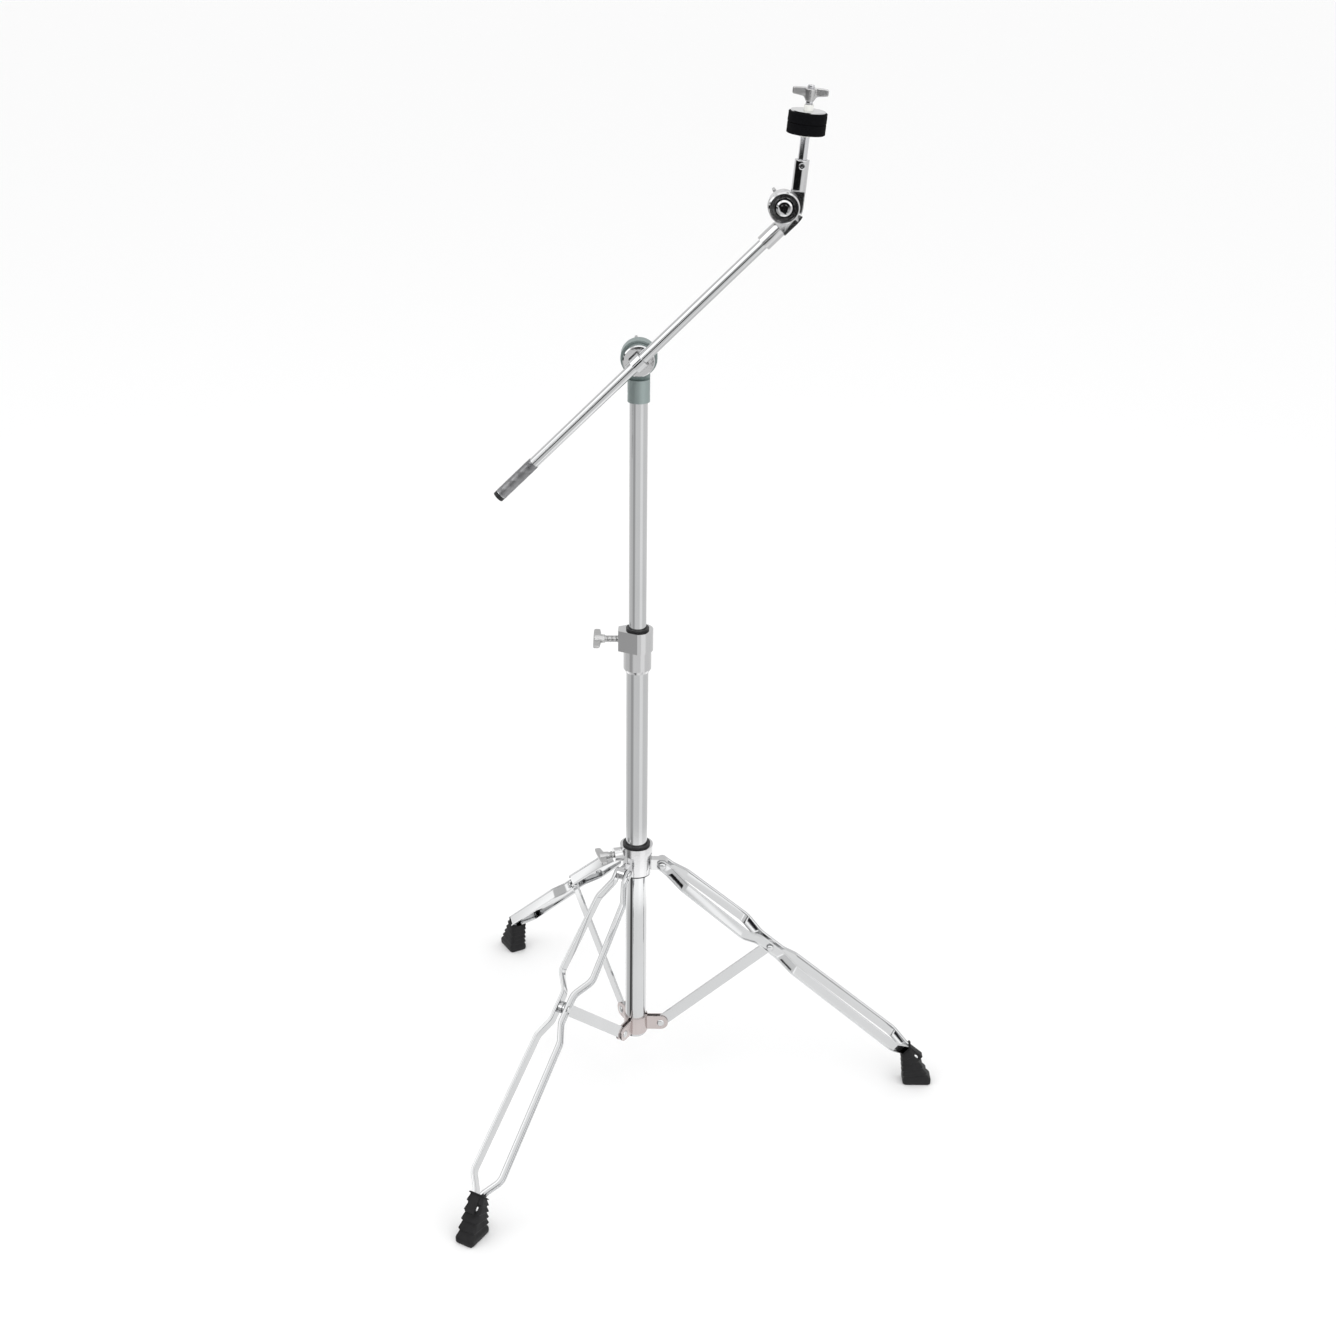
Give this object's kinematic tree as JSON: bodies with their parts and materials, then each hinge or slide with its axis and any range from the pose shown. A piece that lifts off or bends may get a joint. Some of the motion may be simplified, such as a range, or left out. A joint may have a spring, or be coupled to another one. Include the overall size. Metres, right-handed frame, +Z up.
{
  "type": "cymbal boom stand",
  "caption": "Folding tripod stand with a telescoping column, a tilting boom arm and a felted tilting post that holds a cymbal.",
  "frame": {"origin": "on the column's axis at floor level, where the three feet's soles lie", "axes": "+Z up the column, +X towards the side the boom rises to, +Y away from the side the boom is carried on"},
  "size_m": [0.569, 0.657, 1.2211],
  "materials": {
    "chrome": "bright chromed steel, lightly smudged",
    "cast_chrome": "chromed zinc casting, softly rounded edges",
    "nickel": "stamped sheet with a warm satin plating",
    "zinc": "grey die casting, satin",
    "thread_steel": "bright steel rod",
    "nylon_black": "black moulded nylon",
    "nylon_natural": "natural white nylon",
    "rubber_black": "black moulded rubber, satin",
    "felt_black": "dense black felt"
  },
  "bodies": {
    "column": {"lower_tube": "chrome", "bracket_plate_1": "nickel", "bracket_plate_2": "nickel", "bracket_plate_3": "nickel", "stay_pivot_rivets": "chrome", "clamp_casting": "cast_chrome", "clamp_bush": "nylon_black"},
    "height_bolt": {"height_wing_bolt": "cast_chrome"},
    "hub": {"hub_casting": "cast_chrome", "hub_bush": "nylon_black", "leg_pivot_rivets": "chrome"},
    "hub_bolt": {"hub_wing_bolt": "cast_chrome"},
    "right_leg": {"right_leg_strip_1": "chrome", "right_leg_strip_2": "chrome", "right_mid_rivet": "chrome", "right_end_rivet": "chrome", "right_foot": "rubber_black"},
    "right_stay_arm": {"right_stay": "chrome", "right_stay_bush": "chrome"},
    "rear_leg": {"rear_leg_strip_1": "chrome", "rear_leg_strip_2": "chrome", "rear_mid_rivet": "chrome", "rear_end_rivet": "chrome", "rear_foot": "rubber_black"},
    "rear_stay_arm": {"rear_stay": "chrome", "rear_stay_bush": "chrome"},
    "front_leg": {"front_leg_strip_1": "chrome", "front_leg_strip_2": "chrome", "front_mid_rivet": "chrome", "front_end_rivet": "chrome", "front_foot": "rubber_black"},
    "front_stay_arm": {"front_stay": "chrome", "front_stay_bush": "chrome"},
    "tube_plug": {"upper_tube_plug": "nylon_black"},
    "upper_column": {"upper_tube": "chrome", "tilter_base": "zinc", "neck_pin": "chrome"},
    "boom_clamp": {"boom_saddle": "cast_chrome", "eye_bolt": "chrome", "boom_washer": "chrome"},
    "boom_nut": {"boom_wing_nut": "cast_chrome"},
    "boom_slider": {"boom_end_cap": "nylon_black"},
    "boom": {"boom_tube": "chrome", "boom_socket": "cast_chrome", "socket_pin": "chrome", "tilter_bolt": "chrome", "tilter_washer": "chrome"},
    "tilter_nut": {"tilter_wing_nut": "cast_chrome"},
    "post_arm": {"tilter_arm": "cast_chrome", "post_screw": "chrome", "cymbal_post": "thread_steel", "cymbal_sleeve": "nylon_natural", "lower_felt": "felt_black"},
    "top_felt": {"upper_felt": "felt_black", "felt_washer": "chrome"},
    "top_nut": {"top_wing_nut": "cast_chrome"}
  },
  "joints": [
    {"name": "hub_slide", "type": "slide", "parent": "column", "child": "hub", "axis": [0, 0, 1], "range_m": [0, 0.12126]},
    {"name": "right_leg_hinge", "type": "hinge", "parent": "hub", "child": "right_leg", "pos_m": [0.0312, 0, 0.30984], "axis": [0, 1, 0], "range_deg": [0, 44.6]},
    {"name": "right_stay_hinge", "type": "hinge", "parent": "column", "child": "right_stay_arm", "pos_m": [0.0312, 0, 0.08403], "axis": [0, -1, 0], "range_deg": [0, 44.6]},
    {"name": "rear_leg_hinge", "type": "hinge", "parent": "hub", "child": "rear_leg", "pos_m": [-0.0156, 0.02702, 0.30984], "axis": [-0.866, -0.5, 0], "range_deg": [0, 44.6]},
    {"name": "rear_stay_hinge", "type": "hinge", "parent": "column", "child": "rear_stay_arm", "pos_m": [-0.0156, 0.02702, 0.08403], "axis": [0.866, 0.5, 0], "range_deg": [0, 44.6]},
    {"name": "front_leg_hinge", "type": "hinge", "parent": "hub", "child": "front_leg", "pos_m": [-0.0156, -0.02702, 0.30984], "axis": [0.866, -0.5, 0], "range_deg": [0, 44.6]},
    {"name": "front_stay_hinge", "type": "hinge", "parent": "column", "child": "front_stay_arm", "pos_m": [-0.0156, -0.02702, 0.08403], "axis": [-0.866, 0.5, 0], "range_deg": [0, 44.6]},
    {"name": "hub_bolt_turn", "type": "hinge", "parent": "hub", "child": "hub_bolt", "pos_m": [-0.03845, -0.01103, 0.32484], "axis": [-0.9613, -0.2756, 0], "continuous": true},
    {"name": "height_bolt_turn", "type": "hinge", "parent": "column", "child": "height_bolt", "pos_m": [-0.04, 0, 0.60254], "axis": [-1, 0, 0], "continuous": true},
    {"name": "height_slide", "type": "slide", "parent": "column", "child": "tube_plug", "axis": [0, 0, 1], "range_m": [-0.2, 0.12]},
    {"name": "column_swivel", "type": "hinge", "parent": "tube_plug", "child": "upper_column", "pos_m": [0, 0, 0.83144], "axis": [0, 0, 1], "continuous": true},
    {"name": "boom_tilt", "type": "hinge", "parent": "upper_column", "child": "boom_clamp", "pos_m": [0, 0, 0.93144], "axis": [0, 1, 0], "range_deg": [-30, 75]},
    {"name": "boom_nut_turn", "type": "hinge", "parent": "boom_clamp", "child": "boom_nut", "pos_m": [0, 0.02, 0.93144], "axis": [0, 1, 0], "continuous": true},
    {"name": "boom_slide", "type": "slide", "parent": "boom_clamp", "child": "boom_slider", "axis": [0.7083, 0, 0.7059], "range_m": [-0.16, 0.14]},
    {"name": "boom_roll", "type": "hinge", "parent": "boom_slider", "child": "boom", "pos_m": [0, -0.019, 0.93144], "axis": [0.7083, 0, 0.7059], "continuous": true},
    {"name": "cymbal_tilt", "type": "hinge", "parent": "boom", "child": "post_arm", "pos_m": [0.14921, -0.019, 1.09848], "axis": [0, 1, 0], "range_deg": [-90, 60]},
    {"name": "tilter_nut_turn", "type": "hinge", "parent": "boom", "child": "tilter_nut", "pos_m": [0.14921, -0.004, 1.09848], "axis": [0, 1, 0], "continuous": true},
    {"name": "felt_slide", "type": "slide", "parent": "post_arm", "child": "top_felt", "axis": [0.0872, 0, 0.9962], "range_m": [0, 0.0085]},
    {"name": "top_nut_turn", "type": "hinge", "parent": "post_arm", "child": "top_nut", "pos_m": [0.17175, -0.019, 1.20693], "axis": [0.0872, 0, 0.9962], "continuous": true}
  ],
  "couplings": [
    {"joint": "right_leg_hinge", "follows": "hub_slide", "rad_per_m": 6.4189},
    {"joint": "right_stay_hinge", "follows": "hub_slide", "rad_per_m": 6.4189},
    {"joint": "rear_leg_hinge", "follows": "hub_slide", "rad_per_m": 6.4189},
    {"joint": "rear_stay_hinge", "follows": "hub_slide", "rad_per_m": 6.4189},
    {"joint": "front_leg_hinge", "follows": "hub_slide", "rad_per_m": 6.4189},
    {"joint": "front_stay_hinge", "follows": "hub_slide", "rad_per_m": 6.4189}
  ]
}
